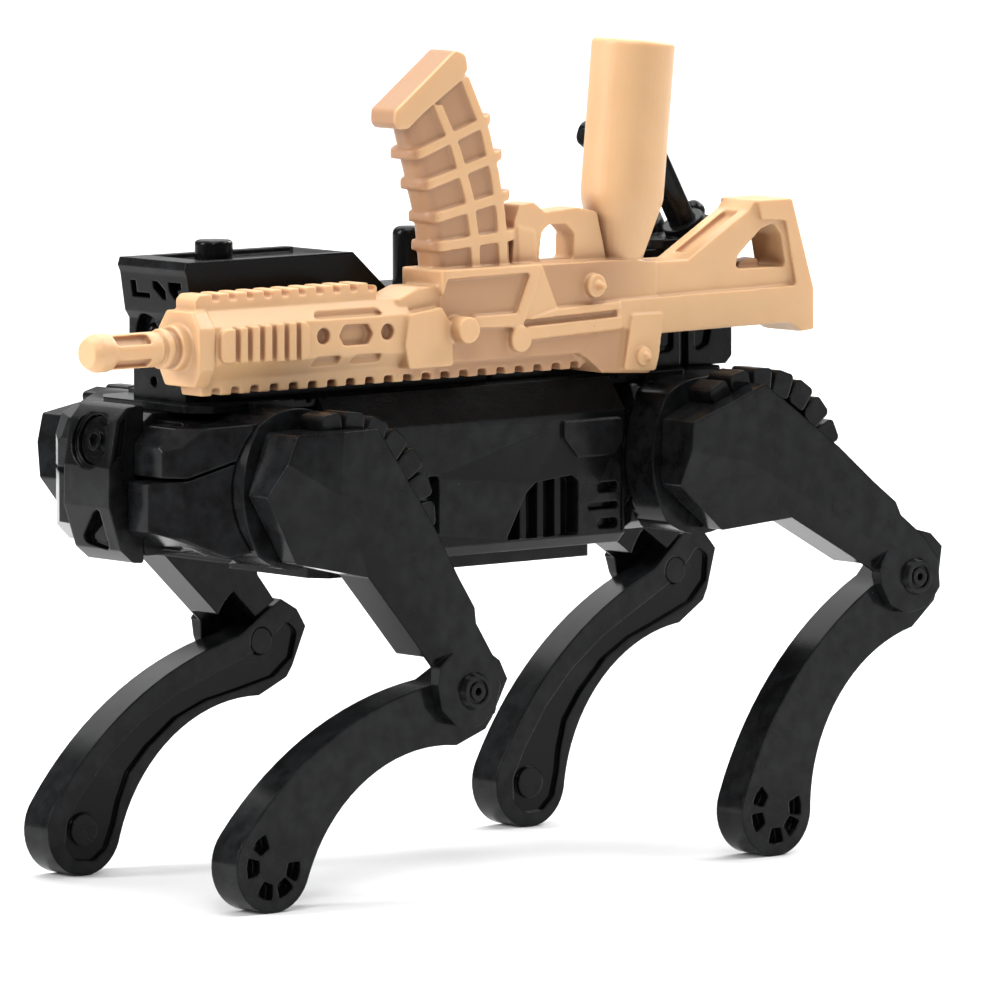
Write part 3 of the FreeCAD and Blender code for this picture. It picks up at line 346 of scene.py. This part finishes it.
def make_floor():
    """Pale floor that curves up behind the toy, square to the camera's line of sight."""
    mesh = bpy.data.meshes.new("floor")
    half_width, near_side, bend_start, bend_radius, wall_top = 0.9, 0.085, 0.9, 0.5, 1.8
    steps = 12
    bm = bmesh.new()
    rows = [(-near_side, 0.0)]
    for i in range(steps + 1):
        turn = math.radians(90 * i / steps)
        rows.append((bend_start + bend_radius * math.sin(turn),
                     bend_radius - bend_radius * math.cos(turn)))
    rows.append((bend_start + bend_radius, wall_top))
    view = Vector((-math.sin(VIEW_TURN), -math.cos(VIEW_TURN), 0))
    side = Vector((view.y, -view.x, 0))
    strips = []
    for along, up in rows:
        strips.append([bm.verts.new(view * along + side * s * half_width + Vector((0, 0, up)))
                       for s in (-1, 1)])
    for a, b in zip(strips, strips[1:]):
        bm.faces.new((a[0], a[1], b[1], b[0]))
    bm.normal_update()
    bm.to_mesh(mesh)
    bm.free()
    floor = bpy.data.objects.new("floor", mesh)
    bpy.context.collection.objects.link(floor)
    for polygon in mesh.polygons:
        polygon.use_smooth = True
    mesh.materials.append(flat_material("pale floor", (0.86, 0.86, 0.86), 0.6))
    return floor


def softbox(name, place, target, size, power):
    light = bpy.data.lights.new(name, "AREA")
    light.shape = "RECTANGLE"
    light.size, light.size_y = size
    light.energy = power
    lamp = bpy.data.objects.new(name, light)
    lamp.location = place
    lamp.rotation_euler = (Vector(target) - Vector(place)).to_track_quat("-Z", "Y").to_euler()
    bpy.context.collection.objects.link(lamp)


make_floor()
AIM = Vector((0.0, 0.0, 0.014))   # about the middle of the toy
BEHIND = Vector((-0.33, -0.38, 0.0))   # the floor behind it, as the camera sees it
softbox("top softbox", (0.03, 0.02, 0.40), AIM, (0.22, 0.22), 1.0)
softbox("nose side softbox", (0.36, -0.16, 0.22), AIM, (0.12, 0.24), 1.6)
softbox("camera side softbox", (0.30, 0.36, 0.36), AIM, (0.14, 0.14), 1.0)
softbox("upper left softbox", (-0.28, 0.14, 0.34), AIM, (0.15, 0.15), 0.9)
softbox("back rim softbox", (-0.36, -0.10, 0.22), AIM, (0.20, 0.14), 0.8)
softbox("background softbox", (-0.33, -0.38, 0.50), BEHIND, (0.80, 0.80), 4.6)

world = bpy.data.worlds.new("studio")
world.use_nodes = True
bpy.context.scene.world = world
background = world.node_tree.nodes["Background"]
background.inputs["Color"].default_value = (1, 1, 1, 1)
background.inputs["Strength"].default_value = 0.24
bpy.context.scene.view_settings.view_transform = "Standard"


def make_camera():
    """Long-lens view from ahead and to the robot's left, a little above its back."""
    turn, lift, reach = VIEW_TURN, math.radians(5.71), 0.4279
    aim_height, aim_right, aim_down = 14, 3.46, 0.03   # mm
    away = Vector((math.sin(turn) * math.cos(lift), math.cos(turn) * math.cos(lift),
                   math.sin(lift)))
    right = Vector((-math.cos(turn), math.sin(turn), 0))
    up = away.cross(right)
    target = Vector((SHIFT_X, 0, aim_height * MM)) + right * aim_right * MM - up * aim_down * MM
    data = bpy.data.cameras.new("camera")
    data.lens = 405.9
    data.sensor_width = 36
    data.clip_start = 0.01
    data.clip_end = 10
    camera = bpy.data.objects.new("camera", data)
    camera.location = target + away * reach
    camera.rotation_euler = away.to_track_quat("Z", "Y").to_euler()
    bpy.context.collection.objects.link(camera)
    bpy.context.scene.camera = camera


make_camera()
